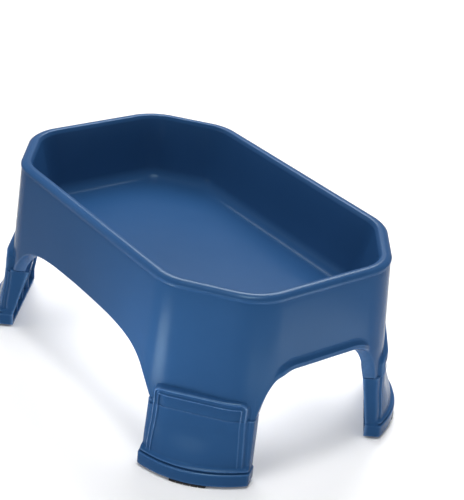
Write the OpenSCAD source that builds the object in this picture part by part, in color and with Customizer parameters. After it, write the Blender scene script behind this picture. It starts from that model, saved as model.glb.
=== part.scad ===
// Raised pet water bowl: a one-piece moulded basin with four short hollow legs,
// and four pull-off leg extensions that stand on rubber pads.
// Origin: middle of the footprint, on the floor. X runs along the length, Z is up.

/* [Basin] */
// Length over the rim
rim_length = 476; // [460:1:500]
// Width over the rim
rim_width = 298; // [290:1:310]
// Height of the rim's outer edge above the floor, standing on the extensions
rim_height = 216; // [212:1:226]
// Corner cut, measured along the length
cut_length = 82; // [78:1:88]
// Corner cut, measured across the width
cut_width = 62; // [58:1:66]
// Plan radius where each corner cut meets its sides
corner_radius = 58; // [54:1:60]
// Outward lean of the skirt, in degrees from upright
skirt_lean = 4; // [3:0.25:4.5]
// Wall thickness of the basin
wall = 3; // [2.6:0.1:3.4]
// Depth of the bowl below the rim's outer edge
bowl_depth = 76; // [66:1:78]
// Width of the rolled rim
rim_roll = 13; // [12:0.5:15]

/* [Arches] */
// Height of the long sides' arch above the floor
long_arch_height = 130; // [124:1:132]
// Height of the ends' arch above the floor
end_arch_height = 130; // [124:1:132]

/* [Legs] */
// Height of the seam between basin leg and extension
seam_height = 77; // [70:1:82]
// Width of a leg at the seam
leg_width = 116; // [108:1:118]
// Depth of a leg's side walls
leg_depth = 14; // [12:0.5:17]
// How far the raised panel stands proud of the skirt
panel_proud = 6.5; // [4:0.5:8]
// Height of the raised panel above the seam
panel_rise = 22; // [18:1:28]

/* [Extensions] */
// Width of the flared foot
foot_width = 122; // [118:1:126]
// Height of the foot's front face
foot_height = 15; // [12:1:18]
// How far the foot's middle stands out from the rim's corner cut
foot_reach = 35; // [32:1:38]
// How far the foot's front face bows out between its corners
foot_bow = 17; // [12:1:20]
// How much further out the foot stands at its long-side corner than at its middle
foot_turn = 4; // [0:0.5:5]
// Depth of the foot's sides
foot_depth = 18; // [15:1:22]
// Wall thickness of an extension
ext_wall = 2.8; // [2.4:0.1:3.2]
// Height of the plug that goes up into the basin leg
plug_height = 28; // [20:1:30]
// Running clearance round the plug
plug_gap = 0.9; // [0.8:0.1:1.2]

/* [Pads] */
// Thickness of the floor pads
pad_thickness = 2.5; // [2:0.1:3]
// Length of a floor pad along the foot
pad_length = 40; // [30:1:44]
// Depth of a floor pad
pad_depth = 18; // [12:1:20]

/* [Hidden] */
CORNERS = ["front_left", "front_right", "rear_right", "rear_left"];

// Plan outline of one quarter of the rim, followed by distance s from the middle
// of the long side to the middle of the end.
cut_angle = atan2(cut_width, cut_length);
cut = norm([cut_length, cut_width]);
long_tangent = corner_radius * tan(cut_angle / 2);
end_tangent = corner_radius * tan((90 - cut_angle) / 2);
arc_step = PI * corner_radius / 180;
s_long = rim_length / 2 - cut_length - long_tangent;
s_cut = s_long + arc_step * cut_angle;
s_cut_end = s_cut + cut - long_tangent - end_tangent;
s_end = s_cut_end + arc_step * (90 - cut_angle);
s_total = s_end + rim_width / 2 - cut_width - end_tangent;
cut_dir = [cos(cut_angle), sin(cut_angle)];
cut_out = [sin(cut_angle), -cos(cut_angle)];
cut_middle = [(rim_length - cut_length) / 2, (cut_width - rim_width) / 2];

// Ends of the flat stretch of the corner cut, from the leg's middle line
flat_long = cut / 2 - long_tangent;
flat_end = cut / 2 - end_tangent;

function mix(a, b, t) = a + (b - a) * t;
function ease(t) = let (c = max(0, min(1, t))) c * c * (3 - 2 * c);
function heading(s) = s < s_long ? 0 : s < s_cut ? (s - s_long) / arc_step
    : s < s_cut_end ? cut_angle : s < s_end ? cut_angle + (s - s_cut_end) / arc_step : 90;
function outward(s) = [sin(heading(s)), -cos(heading(s))];
function outline(s) =
    s < s_long ? [s, -rim_width / 2]
    : s < s_cut_end ? [s_long, corner_radius - rim_width / 2] + corner_radius * outward(s)
                      + max(0, s - s_cut) * cut_dir
    : s < s_end ? [rim_length / 2 - corner_radius, cut_width + end_tangent - rim_width / 2]
                  + corner_radius * outward(s)
    : [rim_length / 2, cut_width + end_tangent - rim_width / 2 + s - s_end];
function lean(z) = (rim_height - z) * tan(skirt_lean);
function point(s, out, z) = let (p = outline(s) + out * outward(s)) [p[0], p[1], z];
function on_skirt(s, out, z) = point(s, lean(z) + out, z);

// Skirt face seen from a leg: how far out it stands at u along the corner cut.
function skirt_out(u, out) =
    let (over = u < -flat_long ? -flat_long - u : max(0, u - flat_end), r = corner_radius)
    over > 0 ? sqrt((r + out) * (r + out) - over * over) - r : out;

// Lower edge of the skirt: [s, z, tangent s, tangent z, depth of the turned-in edge]
half_leg = leg_width / 2;
seam_radius = corner_radius + lean(seam_height);
s_leg = s_cut - arc_step * asin((half_leg - flat_long) / seam_radius);
s_leg_end = s_cut_end + arc_step * asin((half_leg - flat_end) / seam_radius);
long_flat = 60;
end_flat = 300;
arch_sag = 1.5;
edge_thickness = 2.6;
arch_lip = wall + 2;
leg_lip = wall + 1;
arch_steps = 7;
corner_step = 0.6;

function bezier(p, t) = let (q = 1 - t)
    q * q * q * p[0] + 3 * q * q * t * p[1] + 3 * q * t * t * p[2] + t * t * t * p[3];
function bezier_way(p, t) = let (q = 1 - t, d = 3 * q * q * (p[1] - p[0])
    + 6 * q * t * (p[2] - p[1]) + 3 * t * t * (p[3] - p[2])) d / norm(d);
function shoulder(from, to, run, drop) =
    [from, [mix(from[0], to[0], run[0]), mix(from[1], to[1], drop[0])],
     [mix(from[0], to[0], run[1]), mix(from[1], to[1], drop[1])], to];
long_curve = shoulder([long_flat, long_arch_height - arch_sag], [s_leg, seam_height],
                      [0.66, 0.81], [0.09, 0.34]);
end_curve = shoulder([end_flat, end_arch_height], [s_leg_end, seam_height],
                     [0.45, 0.80], [0.013, 0.26]);

// The turned-in edge deepens into a leg's side wall where it runs steeper than this
side_slope = 0.3;
function steepness(rise) = ease((abs(rise) - side_slope) / side_slope);
function edge_depth(way) = mix(arch_lip, leg_depth, steepness(way[1]));
function edge_row(p, way) = [p[0], p[1], way[0], way[1], edge_depth(way)];

leg_stops = [s_leg + corner_step, mix(s_leg, s_cut, 0.35), mix(s_leg, s_cut, 0.7), s_cut,
             mix(s_cut, s_cut_end, 0.5), s_cut_end, mix(s_cut_end, s_leg_end, 0.25),
             mix(s_cut_end, s_leg_end, 0.5), mix(s_cut_end, s_leg_end, 0.75),
             s_leg_end - corner_step];
edge = concat(
    [edge_row([0, long_arch_height], [1, 0]),
     edge_row([long_flat / 2, long_arch_height - arch_sag / 4], [1, 0])],
    [for (i = [0:arch_steps]) let (t = i / arch_steps)
        edge_row(bezier(long_curve, t), bezier_way(long_curve, t))],
    [for (s = leg_stops) [s, seam_height, 1, 0, leg_lip]],
    [for (i = [arch_steps:-1:0]) let (t = i / arch_steps)
        edge_row(bezier(end_curve, t), -bezier_way(end_curve, t))],
    [edge_row([(end_flat + s_total) / 2, end_arch_height], [1, 0]),
     edge_row([s_total, end_arch_height], [1, 0])]);

function side_weight(e) = e[4] == leg_lip ? 0 : steepness(e[3]);
function inward(e) = let (d = mix(outward(e[0]), cut_out, side_weight(e))) -d / norm(d);
function set_in(e) = [e[0] - edge_thickness * e[3], e[1] + edge_thickness * e[2]];
function turned_in(e, s, z) = let (way = inward(e)) on_skirt(s, 0, z) + e[4] * [way[0], way[1], 0];

// Cross-section of the bowl and rim: [out, z] above and below the skirt's rows
floor_z = rim_height - bowl_depth;
crown = 2;
lip_out = 1;
lip_height = 4.5;
lip_step = 0.8;
bowl_side = [[-48, 0], [-39, 2], [-32, 7], [-28, 16]];
bowl_top = [-rim_roll - 0.5, -4];
rim_section = [[-rim_roll + 1.5, crown * 0.3], [-rim_roll + 4.5, crown], [-rim_roll * 0.3, crown * 0.9],
               [-0.6, crown * 0.2], [lip_out, -1.2], [lip_out, -lip_height]];
under_section = [[-wall - 0.5, -6], [-rim_roll * 0.5, -2], [wall - rim_roll - 0.7, -6]];
bowl_outer = [[-25, 14], [-29.5, 4.5], [-37.5, -1.2], [-48, -wall]];

// One quarter of each ring, from the bowl's floor over the rim, down the skirt,
// round its lower edge and back under the bowl
function plain_ring(section, base_z) =
    [for (c = section) [for (e = edge) point(e[0], c[0], base_z + c[1])]];
quarter_rings = concat(
    plain_ring(bowl_side, floor_z),
    plain_ring([bowl_top], rim_height),
    plain_ring(rim_section, rim_height),
    [[for (e = edge) on_skirt(e[0], 0, rim_height - lip_height - lip_step)],
     [for (e = edge) on_skirt(e[0], 0, e[1])],
     [for (e = edge) turned_in(e, e[0], e[1])],
     [for (e = edge) let (i = set_in(e)) turned_in(e, i[0], i[1])],
     [for (e = edge) let (i = set_in(e)) on_skirt(i[0], -wall, i[1])]],
    plain_ring(under_section, rim_height),
    plain_ring(bowl_outer, floor_z));

function flip(p, sx, sy) = [p[0] * sx, p[1] * sy, p[2]];
function full_ring(q) = let (n = len(q) - 1) concat(
    [for (i = [0:n - 1]) q[i]],
    [for (i = [n:-1:1]) flip(q[i], 1, -1)],
    [for (i = [0:n - 1]) flip(q[i], -1, -1)],
    [for (i = [n:-1:1]) flip(q[i], -1, 1)]);

module basin_shell() {
    rings = [for (q = quarter_rings) full_ring(q)];
    n = len(rings[0]);
    last = len(rings) - 1;
    points = concat([for (r = rings) each r], [[0, 0, floor_z], [0, 0, floor_z - wall]]);
    top = n * len(rings);
    faces = concat(
        [for (i = [0:n - 1]) [top, (i + 1) % n, i]],
        [for (j = [0:last - 1], i = [0:n - 1]) let (a = j * n + i, b = j * n + (i + 1) % n)
            each [[a, b, b + n], [a, b + n, a + n]]],
        [for (i = [0:n - 1]) [last * n + i, last * n + (i + 1) % n, top + 1]]);
    polyhedron(points, faces, convexity = 10);
}

// A slab of a leg, in the leg's own frame: u along the corner cut, out away from it
module slab(us, zs, front, back, spread = function (z) 1) {
    nu = len(us);
    nz = len(zs);
    block = nu * nz;
    points = concat(
        [for (z = zs, u = us) let (v = u * spread(z)) [v, -front(v, z), z]],
        [for (z = zs, u = us) let (v = u * spread(z)) [v, -back(v, z), z]]);
    faces = concat(
        [for (j = [0:nz - 2], i = [0:nu - 2]) let (a = j * nu + i, c = a + nu)
            each [[a, c, c + 1], [a, c + 1, a + 1],
                  [block + a, block + c + 1, block + c], [block + a, block + a + 1, block + c + 1]]],
        [for (i = [0:nu - 2]) let (t = (nz - 1) * nu + i)
            each [[i, i + 1, block + i + 1], [i, block + i + 1, block + i],
                  [block + t, block + t + 1, t + 1], [block + t, t + 1, t]]],
        [for (j = [0:nz - 2]) let (l = j * nu, r = l + nu - 1)
            each [[block + l, block + l + nu, l + nu], [block + l, l + nu, l],
                  [r, r + nu, block + r + nu], [r, block + r + nu, block + r]]]);
    polyhedron(points, faces, convexity = 6);
}

module at_leg(corner) {
    right = corner == "front_right" || corner == "rear_right";
    rear = corner == "rear_left" || corner == "rear_right";
    mirror([right ? 0 : 1, 0, 0]) mirror([0, rear ? 1 : 0, 0])
        translate([cut_middle[0], cut_middle[1], 0]) rotate(cut_angle) children();
}

// Raised panel on the lower part of each basin leg
panel_margin = 7;
panel_half = half_leg - panel_margin;
panel_shoulder = 3;
panel_top = seam_height + panel_rise;
panel_radius = 9;
panel_turn = 0.25;
panel_steps = [8, panel_shoulder, 0];
function panel_lift(u) = panel_proud * (1 - panel_turn * u / panel_half);
function panel_level(u, z) =
    let (du = abs(u) - (panel_half - panel_radius), dz = z - (panel_top - panel_radius),
         d = panel_radius - norm([max(0, du), max(0, dz)]))
    panel_lift(u) * ease(d / panel_shoulder);
function wall_out(u, z) = skirt_out(u, lean(z));

module leg_panel() {
    sides = [for (d = panel_steps) panel_half - d];
    us = concat(-[for (i = [2:-1:0]) sides[i]], [for (u = [-30:10:30]) u], sides);
    zs = concat([seam_height], [for (d = panel_steps) panel_top - d]);
    slab(us, zs, function (u, z) wall_out(u, z) + max(0.01, panel_level(u, z)),
         function (u, z) wall_out(u, z) - wall / 2);
}

// Gusset between the leg's front wall and the bowl, above the plug
gusset_thickness = 2.4;
gusset_low = seam_height + plug_height + 6;
gusset_middle = floor_z + 10;
gusset_high = rim_height - 12;
gusset_tip = 10;
bowl_reach_middle = 26;
bowl_reach_high = 13;
module gusset_bar(u, z, depth) {
    translate([u - gusset_thickness / 2, wall / 2 - wall_out(u, z), z])
        cube([gusset_thickness, depth, 1]);
}
module leg_gusset(u) {
    hull() {
        gusset_bar(u, gusset_low, gusset_tip);
        gusset_bar(u, gusset_middle, wall_out(u, gusset_middle) + bowl_reach_middle);
        gusset_bar(u, gusset_high, wall_out(u, gusset_high) + bowl_reach_high);
    }
}

// Shelf behind the plug that carries the basin's own rubber pad
shelf_half = 23;
shelf_depth = 9;
shelf_thickness = 2.6;
shelf_z = seam_height + 3;
shelf_out = wall_out(0, seam_height + plug_height) - wall - ext_wall - 3 * plug_gap;
web_depth = 40;
module leg_shelf() {
    translate([-shelf_half, -shelf_out, shelf_z])
        cube([2 * shelf_half, shelf_depth, shelf_thickness]);
    for (side = [-1, 1]) hull() {
        translate([side * shelf_half - gusset_thickness / 2, -shelf_out, shelf_z])
            cube([gusset_thickness, shelf_depth, 1]);
        translate([side * shelf_half - gusset_thickness / 2, -shelf_out, floor_z - 1])
            cube([gusset_thickness, web_depth, 2]);
    }
}

// Stiffening ribs under the bowl's floor
rib_depth = 5;
cross_rib_length = 156;
long_rib_length = 340;
module floor_rib(x, y, length, width) {
    translate([x - length / 2, y - width / 2, floor_z - wall - rib_depth])
        cube([length, width, rib_depth + wall / 2]);
}
module floor_ribs() {
    for (x = [-110, 0, 110]) floor_rib(x, 0, gusset_thickness, cross_rib_length);
    for (y = [-45, 45]) floor_rib(0, y, long_rib_length, gusset_thickness);
}

module basin() {
    color("#335a8c") union() {
        basin_shell();
        floor_ribs();
        for (corner = CORNERS) at_leg(corner) {
            leg_panel();
            leg_shelf();
            for (u = [-34, 34]) leg_gusset(u);
        }
    }
}

// Front face of an extension: panel level at the seam, flaring to the bowed foot
foot_z = pad_thickness;
foot_top = foot_z + foot_height;
foot_step = 5;
flare_height = 42;
margin_drop = 3.5;
margin_edge = 2;
side_slant = 1.5;
half_foot = foot_width / 2;
function foot_out(u) = let (t = u / half_foot) foot_reach - foot_bow * t * t - foot_turn * t;
function margin(u) = margin_drop * ease((abs(u) - panel_half + margin_edge) / (2 * margin_edge));
function ext_out(u, z) = z <= foot_top ? foot_out(u)
    : mix(foot_out(u) - foot_step, wall_out(u, z) + panel_lift(u), ease((z - foot_top) / flare_height))
      - margin(u);
function ext_half(z) = z <= foot_top ? half_foot
    : mix(half_foot - side_slant, half_leg, (z - foot_top) / (seam_height - foot_top));
function ext_rear(u, z) = mix(
    foot_reach - foot_bow - foot_depth - foot_turn * u / half_foot,
    wall_out(half_leg, seam_height) - leg_depth, max(0, z - foot_top) / (seam_height - foot_top));

seam_gap = 0.3;
ext_top = seam_height - seam_gap;
deck_thickness = 3;
sole_thickness = 3;
unit_us = [-1, -0.95, -0.9, -0.84, -0.7, -0.5, -0.25, 0, 0.25, 0.5, 0.7, 0.84, 0.9, 0.95, 1];
ext_zs = concat([foot_z], [for (d = [-1, 2, 10, 20, 30, flare_height]) foot_top + d], [ext_top]);
skin_overlap = 0.3;

// The same faces as values, for slab()
ext_face = function (u, z) ext_out(u, z);
ext_inside = function (u, z) ext_out(u, z) - skin_overlap;
ext_skin = function (u, z) ext_out(u, z) - ext_wall;
ext_back = function (u, z) ext_rear(u, z);
ext_spread = function (z) ext_half(z);

module extension_side(side) {
    inner = 1 - ext_wall / half_leg;
    slab(side < 0 ? [-1, -inner] : [inner, 1], ext_zs, ext_inside, ext_back, ext_spread);
}

// Plug: a shallow channel that slides up behind the basin leg's front wall
plug_half = half_leg - 13;
plug_base = ext_top - 1;
plug_top = seam_height + plug_height;
plug_segments = 8;
function plug_out(u) = wall_out(u, plug_top) - wall - plug_gap;
post_half = 0.6;
module plug_post(u) {
    translate([u - post_half, -plug_out(abs(u) + post_half), plug_base])
        cube([2 * post_half, ext_wall, plug_top - plug_base]);
}
module plug() {
    for (i = [0:plug_segments - 1]) hull() {
        plug_post(mix(-plug_half, plug_half, i / plug_segments));
        plug_post(mix(-plug_half, plug_half, (i + 1) / plug_segments));
    }
    for (side = [-1, 1]) hull() {
        translate([side * (plug_half - 1) - 1, -plug_out(plug_half), plug_base]) cube([2, 7, 1]);
        translate([side * (plug_half - 1) - 1, -plug_out(plug_half), plug_top - 2]) cube([2, 4, 1]);
    }
}

// Deck under the basin leg, notched behind for the basin's own pad
module deck() {
    notch_half = shelf_half + 2;
    outer_us = [-1, -0.95, -0.84, -0.7, -notch_half / half_leg];
    deck_zs = [ext_top - deck_thickness, ext_top];
    slab(outer_us, deck_zs, ext_inside, ext_back, ext_spread);
    slab([for (i = [len(outer_us) - 1:-1:0]) -outer_us[i]], deck_zs, ext_inside, ext_back, ext_spread);
    slab([-notch_half - 0.5, -12, 0, 12, notch_half + 0.5], deck_zs, ext_inside,
         function (u, z) shelf_out + plug_gap);
}

// Rib between the face, the sole and the deck, cut away behind under the basin's own pad
rib_half = 1.1;
rib_setback = 1.5;
rib_low_end = ext_top - 10;
rib_high_start = ext_top - 16;
rib_cut = ext_top - deck_thickness - 4;
rib_back = function (u, z) ext_rear(u, z) + rib_setback;
module extension_rib(u) {
    us = [u - rib_half, u + rib_half];
    slab(us, [for (z = ext_zs) if (z < rib_low_end) z], ext_inside, rib_back);
    slab(us, [rib_high_start, rib_cut, ext_top - 1], ext_inside,
         function (u, z) z < rib_cut ? rib_back(u, z) : shelf_out + plug_gap);
}

module extension() {
    color("#3b6496") union() {
        slab(unit_us, ext_zs, ext_face, ext_skin, ext_spread);
        for (side = [-1, 1]) extension_side(side);
        slab(unit_us, [foot_z, foot_z + sole_thickness], ext_inside, ext_back, ext_spread);
        deck();
        plug();
        for (u = [-30, 0, 30]) extension_rib(u);
    }
}

// Rubber pad under a foot, just proud of its front face
pad_proud = 0.5;
module foot_pad() {
    color("#17181a")
        slab([-1, -0.5, 0, 0.5, 1] * pad_length / 2, [0, pad_thickness],
             function (u, z) foot_out(u) + pad_proud, function (u, z) foot_out(u) - pad_depth);
}

// Rubber pad under the basin leg's shelf, used when the extensions are off
basin_pad_height = 5;
basin_pad_inset = 1;
module basin_pad() {
    front = shelf_out - basin_pad_inset;
    length = 2 * (shelf_half - 2);
    color("#17181a")
        translate([-length / 2, -front, shelf_z - basin_pad_height])
            cube([length, shelf_depth - 2 * basin_pad_inset, basin_pad_height]);
}

basin();
at_leg("front_left") extension();  // extension_front_left
at_leg("front_right") extension();  // extension_front_right
at_leg("rear_right") extension();  // extension_rear_right
at_leg("rear_left") extension();  // extension_rear_left
at_leg("front_left") foot_pad();  // foot_pad_front_left
at_leg("front_right") foot_pad();  // foot_pad_front_right
at_leg("rear_right") foot_pad();  // foot_pad_rear_right
at_leg("rear_left") foot_pad();  // foot_pad_rear_left
at_leg("front_left") basin_pad();  // basin_pad_front_left
at_leg("front_right") basin_pad();  // basin_pad_front_right
at_leg("rear_right") basin_pad();  // basin_pad_rear_right
at_leg("rear_left") basin_pad();  // basin_pad_rear_left
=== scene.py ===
"""Looks of the raised pet water bowl: the moulded basin, its four pull-off leg extensions and
their rubber pads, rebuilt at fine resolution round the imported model, with materials, light,
floor and camera. Lengths are in millimetres until a mesh is made, which turns them to metres."""
import math

import bmesh
import bpy
import numpy as np
from mathutils import Matrix, Quaternion, Vector


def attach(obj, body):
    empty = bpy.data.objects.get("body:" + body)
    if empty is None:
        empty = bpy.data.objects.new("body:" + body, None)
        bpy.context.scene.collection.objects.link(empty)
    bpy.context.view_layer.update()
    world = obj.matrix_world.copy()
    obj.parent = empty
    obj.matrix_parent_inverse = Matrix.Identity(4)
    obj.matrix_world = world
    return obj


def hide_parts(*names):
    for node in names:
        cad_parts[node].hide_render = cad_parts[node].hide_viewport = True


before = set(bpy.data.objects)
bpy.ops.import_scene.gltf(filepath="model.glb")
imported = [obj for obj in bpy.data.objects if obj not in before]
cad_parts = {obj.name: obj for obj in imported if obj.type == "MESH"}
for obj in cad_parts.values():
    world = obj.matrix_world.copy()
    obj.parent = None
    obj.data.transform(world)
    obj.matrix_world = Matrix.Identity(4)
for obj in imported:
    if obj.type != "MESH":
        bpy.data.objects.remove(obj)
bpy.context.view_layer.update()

MM = 0.001
CORNERS = ["front_left", "front_right", "rear_right", "rear_left"]

# ---------------------------------------------------------------- dimensions, as in the CAD model
RIM_LENGTH = 476.0
RIM_WIDTH = 298.0
RIM_HEIGHT = 216.0
CUT_LENGTH = 82.0
CUT_WIDTH = 62.0
CORNER_RADIUS = 58.0
SKIRT_LEAN = math.tan(math.radians(4.0))
WALL = 3.0
BOWL_DEPTH = 76.0
LONG_ARCH = 130.0
END_ARCH = 130.0
ARCH_SAG = 1.5
LONG_FLAT = 60.0
END_FLAT = 300.0
SEAM = 77.0
HALF_LEG = 58.0
LEG_DEPTH = 14.0
PANEL_PROUD = 6.5
PANEL_TOP = SEAM + 22.0
PANEL_HALF = HALF_LEG - 7.0
PANEL_TURN = 0.25
HALF_FOOT = 61.0
FOOT_REACH = 35.0
FOOT_BOW = 17.0
FOOT_TURN = 4.0
FOOT_DEPTH = 18.0
FOOT_HEIGHT = 15.0
EXT_WALL = 2.8
PLUG_HEIGHT = 28.0
PLUG_GAP = 0.9
PAD_THICKNESS = 2.5
PAD_LENGTH = 40.0
PAD_DEPTH = 18.0
FOOT_TOP = PAD_THICKNESS + FOOT_HEIGHT
EXT_TOP = SEAM - 0.12
FLOOR_Z = RIM_HEIGHT - BOWL_DEPTH
PLUG_TOP = SEAM + PLUG_HEIGHT

# Plan outline of a quarter of the rim, followed by distance s from the middle of the long side
CUT_ANGLE = math.atan2(CUT_WIDTH, CUT_LENGTH)
CUT = math.hypot(CUT_LENGTH, CUT_WIDTH)
LONG_TANGENT = CORNER_RADIUS * math.tan(CUT_ANGLE / 2)
END_TANGENT = CORNER_RADIUS * math.tan((math.pi / 2 - CUT_ANGLE) / 2)
S_LONG = RIM_LENGTH / 2 - CUT_LENGTH - LONG_TANGENT
S_CUT = S_LONG + CORNER_RADIUS * CUT_ANGLE
S_CUT_END = S_CUT + CUT - LONG_TANGENT - END_TANGENT
S_END = S_CUT_END + CORNER_RADIUS * (math.pi / 2 - CUT_ANGLE)
S_TOTAL = S_END + RIM_WIDTH / 2 - CUT_WIDTH - END_TANGENT
CUT_DIR = np.array([math.cos(CUT_ANGLE), math.sin(CUT_ANGLE)])
CUT_OUT = np.array([math.sin(CUT_ANGLE), -math.cos(CUT_ANGLE)])
CUT_MIDDLE = np.array([(RIM_LENGTH - CUT_LENGTH) / 2, (CUT_WIDTH - RIM_WIDTH) / 2])
FLAT_LONG = CUT / 2 - LONG_TANGENT
FLAT_END = CUT / 2 - END_TANGENT


# ---------------------------------------------------------------- small maths
def mix(a, b, t):
    """From a at t = 0 to b at t = 1, in proportion."""
    return a + (b - a) * t


def ease(t):
    """Smooth step from 0 at t = 0 to 1 at t = 1, flat beyond both."""
    c = np.clip(t, 0.0, 1.0)
    return c * c * (3 - 2 * c)


def lean(z):
    """How far the skirt has leaned out at height z."""
    return (RIM_HEIGHT - z) * SKIRT_LEAN


def heading(s):
    """Turn of the outline from +X, in radians, at distance s."""
    first = np.clip((s - S_LONG) / CORNER_RADIUS, 0, CUT_ANGLE)
    second = np.clip((s - S_CUT_END) / CORNER_RADIUS, 0, math.pi / 2 - CUT_ANGLE)
    return first + second


def outward(s):
    """Direction out of the outline at distance s."""
    h = heading(s)
    return np.stack([np.sin(h), -np.cos(h)], -1)


def outline(s):
    """Point of the rim's outer edge at distance s."""
    s = np.asarray(s, float)
    out = outward(s)
    along = np.clip(s - S_CUT, 0, S_CUT_END - S_CUT)
    x = np.minimum(s, S_LONG) + CORNER_RADIUS * out[..., 0] + along * CUT_DIR[0]
    y = CORNER_RADIUS - RIM_WIDTH / 2 + CORNER_RADIUS * out[..., 1] + along * CUT_DIR[1]
    y = y + np.maximum(s - S_END, 0)
    far = s > S_CUT_END
    x = np.where(far, RIM_LENGTH / 2 - CORNER_RADIUS + CORNER_RADIUS * out[..., 0], x)
    base = CUT_WIDTH + END_TANGENT - RIM_WIDTH / 2
    y = np.where(far, base + CORNER_RADIUS * out[..., 1] + np.maximum(s - S_END, 0), y)
    return np.stack([x, y], -1)


def skirt_out(u, out):
    """How far out the skirt stands at u along the corner cut, for an outline offset by out."""
    over = np.maximum(0, np.maximum(-FLAT_LONG - u, u - FLAT_END))
    r = CORNER_RADIUS
    return np.sqrt((r + out) ** 2 - over**2) - r


def wall_out(u, z):
    """How far out the skirt's face stands at u along the corner cut and height z."""
    return skirt_out(u, lean(z))


def bezier(p, t):
    """Point at t on the cubic Bezier curve with control points p."""
    q = 1 - t
    return q**3 * p[0] + 3 * q * q * t * p[1] + 3 * q * t * t * p[2] + t**3 * p[3]


def rounded(points, radii, step):
    """A polyline with its inner corners rounded: one arc point for each step degrees."""
    pts = [np.array(p, float) for p in points]
    out = [pts[0]]
    for a, b, c, r in zip(pts, pts[1:], pts[2:], radii):
        d1 = (b - a) / np.linalg.norm(b - a)
        d2 = (c - b) / np.linalg.norm(c - b)
        turn = math.acos(max(-1, min(1, float(d1 @ d2))))
        if r <= 0 or turn < 0.01:
            out.append(b)
            continue
        tangent = r * math.tan(turn / 2)
        start = b - d1 * tangent
        side = d2 - d1 * float(d1 @ d2)
        centre = start + side / np.linalg.norm(side) * r
        n = max(2, int(math.degrees(turn) / step))
        for i in range(n + 1):
            f = turn * i / n
            out.append(centre + (start - centre) * math.cos(f) + d1 * r * math.sin(f))
    out.append(pts[-1])
    return np.array(out)


def spaced(a, b, step):
    """Evenly spaced values from a to b, about step apart."""
    n = max(1, int(round(abs(b - a) / step)))
    return list(np.linspace(a, b, n + 1))


# ---------------------------------------------------------------- mesh helpers
# Angles in degrees: edges sharper than these stay hard in shading, or are bevelled
SHARP_ANGLE = 38.0
SHELL_SHARP = 32
EXTENSION_SHARP = 34
BEVEL_ANGLE = 40.0
BEVEL_SEGMENTS = 3
# Metres: points this close are merged, and edges this short are removed
SAME_POINT = 1e-6
NO_LENGTH = 1e-7


def make_object(name, verts_mm, faces, sharp=SHARP_ANGLE):
    """A smooth-shaded closed mesh object from millimetre points."""
    mesh = bpy.data.meshes.new(name)
    mesh.from_pydata([tuple(v) for v in np.asarray(verts_mm, float) * MM], [], faces)
    bm = bmesh.new()
    bm.from_mesh(mesh)
    bmesh.ops.remove_doubles(bm, verts=bm.verts, dist=SAME_POINT)
    bmesh.ops.dissolve_degenerate(bm, edges=bm.edges, dist=NO_LENGTH)
    bmesh.ops.recalc_face_normals(bm, faces=bm.faces)
    bm.to_mesh(mesh)
    bm.free()
    mesh.polygons.foreach_set("use_smooth", [True] * len(mesh.polygons))
    mesh.set_sharp_from_angle(angle=math.radians(sharp))
    obj = bpy.data.objects.new(name, mesh)
    bpy.context.scene.collection.objects.link(obj)
    return obj


def grid_faces(rows, cols, closed=False, start=0):
    """Quads of a grid of points given row by row; closed joins each row's end to its start."""
    faces = []
    for j in range(rows - 1):
        for i in range(cols if closed else cols - 1):
            k = (i + 1) % cols
            a, b = start + j * cols + i, start + j * cols + k
            faces.append((a, b, b + cols, a + cols))
    return faces


def slab(us, zs, front, back):
    """Verts and faces of a closed slab between two height fields of (u, z) in a leg's frame."""
    u, z = np.meshgrid(np.array(us, float), np.array(zs, float))
    f = np.stack([u, -(front(u, z) + 0 * u), z], -1).reshape(-1, 3)
    b = np.stack([u, -(back(u, z) + 0 * u), z], -1).reshape(-1, 3)
    nz, nu = u.shape
    n = nu * nz
    faces = grid_faces(nz, nu) + grid_faces(nz, nu, start=n)
    bottom = list(range(nu))
    right = [j * nu + nu - 1 for j in range(1, nz)]
    top = [(nz - 1) * nu + i for i in range(nu - 2, -1, -1)]
    left = [j * nu for j in range(nz - 2, 0, -1)]
    rim = bottom + right + top + left
    for a, c in zip(rim, rim[1:] + rim[:1]):
        faces.append((a, c, c + n, a + n))
    return np.vstack([f, b]), faces


def slab_object(name, us, zs, front, back, soft):
    """A slab as an object, with its edges rounded by soft millimetres."""
    verts, faces = slab(us, zs, front, back)
    obj = make_object(name, verts, faces)
    soften(obj, soft)
    return obj


def soften(obj, width):
    """Rounds the hard edges of a mesh by width millimetres."""
    mod = obj.modifiers.new("soft_edges", "BEVEL")
    mod.width = width * MM
    mod.segments = BEVEL_SEGMENTS
    mod.limit_method = "ANGLE"
    mod.angle_limit = math.radians(BEVEL_ANGLE)
    bpy.context.view_layer.objects.active = obj
    bpy.ops.object.modifier_apply(modifier=mod.name)
    obj.data.polygons.foreach_set("use_smooth", [True] * len(obj.data.polygons))
    obj.data.set_sharp_from_angle(angle=math.radians(SHARP_ANGLE))


def joined(name, objs):
    """Several meshes as one object."""
    bm = bmesh.new()
    for o in objs:
        bm.from_mesh(o.data)
    mesh = bpy.data.meshes.new(name)
    bm.to_mesh(mesh)
    bm.free()
    for o in objs:
        bpy.data.objects.remove(o)
    obj = bpy.data.objects.new(name, mesh)
    bpy.context.scene.collection.objects.link(obj)
    mesh.set_sharp_from_angle(angle=math.radians(SHARP_ANGLE))
    return obj


def place_at_leg(obj, corner):
    """Moves a mesh from a leg's own frame (u, -out, z) to its corner of the bowl."""
    right = 1 if corner.endswith("right") else -1
    front = -1 if corner.startswith("rear") else 1
    spin = Matrix.Rotation(CUT_ANGLE, 4, "Z")
    shift = Matrix.Translation((CUT_MIDDLE[0] * MM, CUT_MIDDLE[1] * MM, 0))
    flip = Matrix.Diagonal((right, front, 1, 1))
    obj.data.transform(flip @ shift @ spin)
    if right != front:
        obj.data.flip_normals()
    return obj


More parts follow.
